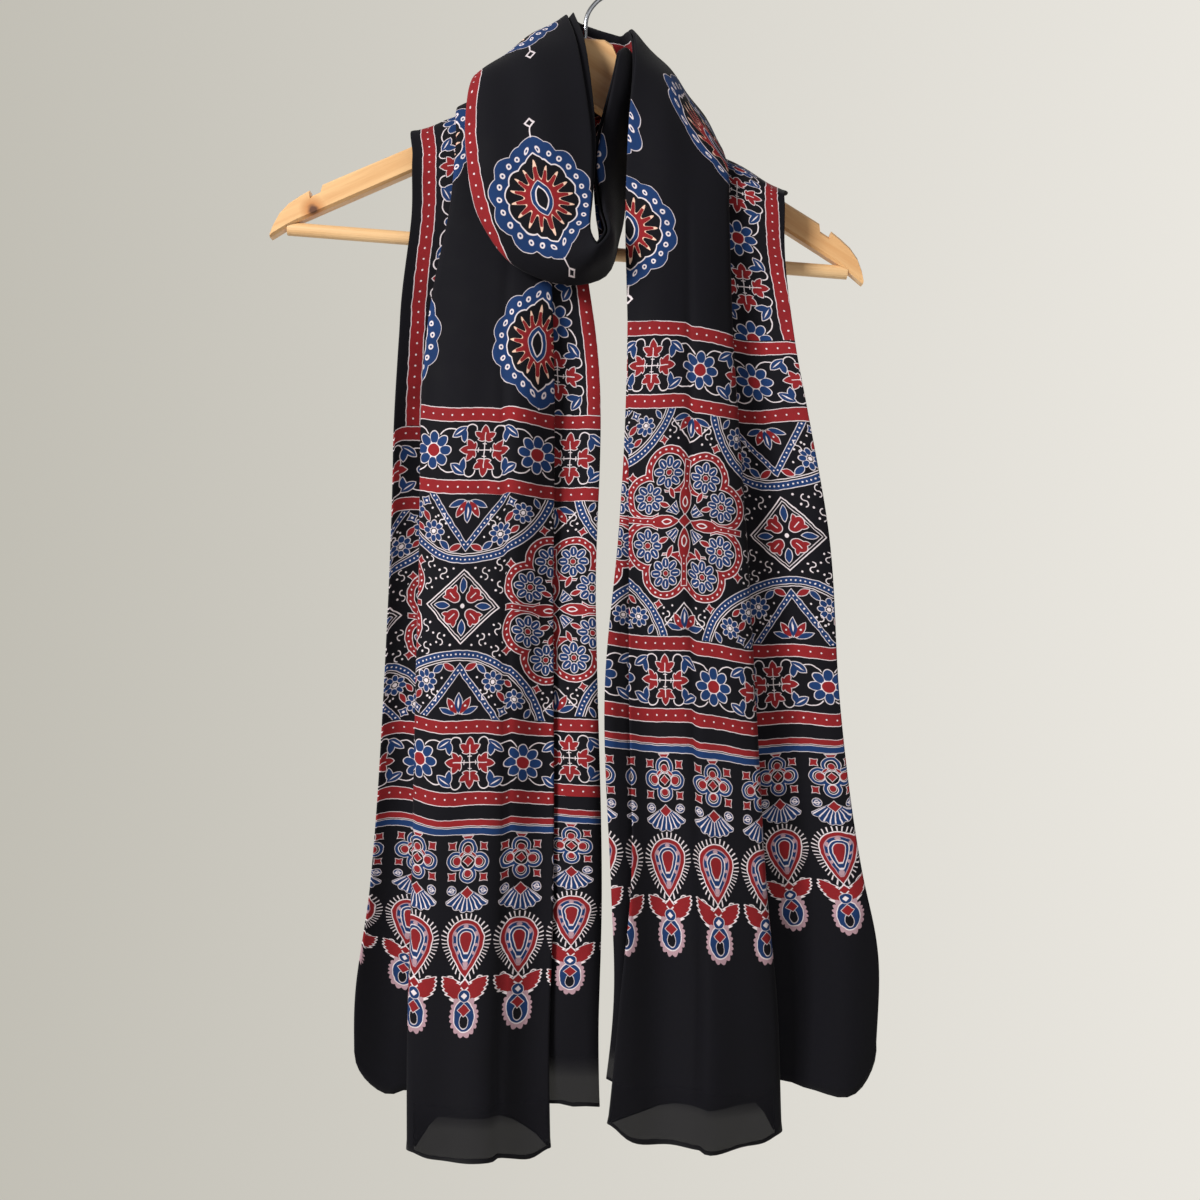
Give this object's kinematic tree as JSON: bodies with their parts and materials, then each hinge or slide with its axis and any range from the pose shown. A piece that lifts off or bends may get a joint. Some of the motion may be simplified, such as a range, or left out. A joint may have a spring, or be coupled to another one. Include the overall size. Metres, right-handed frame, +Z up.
{
  "type": "printed stole on a wooden hanger",
  "caption": "Black stole with a red and indigo block print, wound round the neck of a wooden hanger so that both ends hang down in front.",
  "frame": {"origin": "inside top of the hook, where the hanger hangs from a rail or peg", "axes": "+Z up along the hanging cloth, +X to the viewer's right along the hanger, +Y to the back"},
  "size_m": [0.444, 0.1164, 0.8924],
  "materials": {
    "cloth": "matte thin cloth, block printed in red, indigo and white",
    "wood": "satin lacquer",
    "bar_wood": "satin lacquer",
    "wire": "polished"
  },
  "bodies": {
    "root": {"stole": "cloth", "arm_left": "wood", "arm_right": "wood", "bar": "bar_wood", "hook": "wire"}
  },
  "joints": []
}
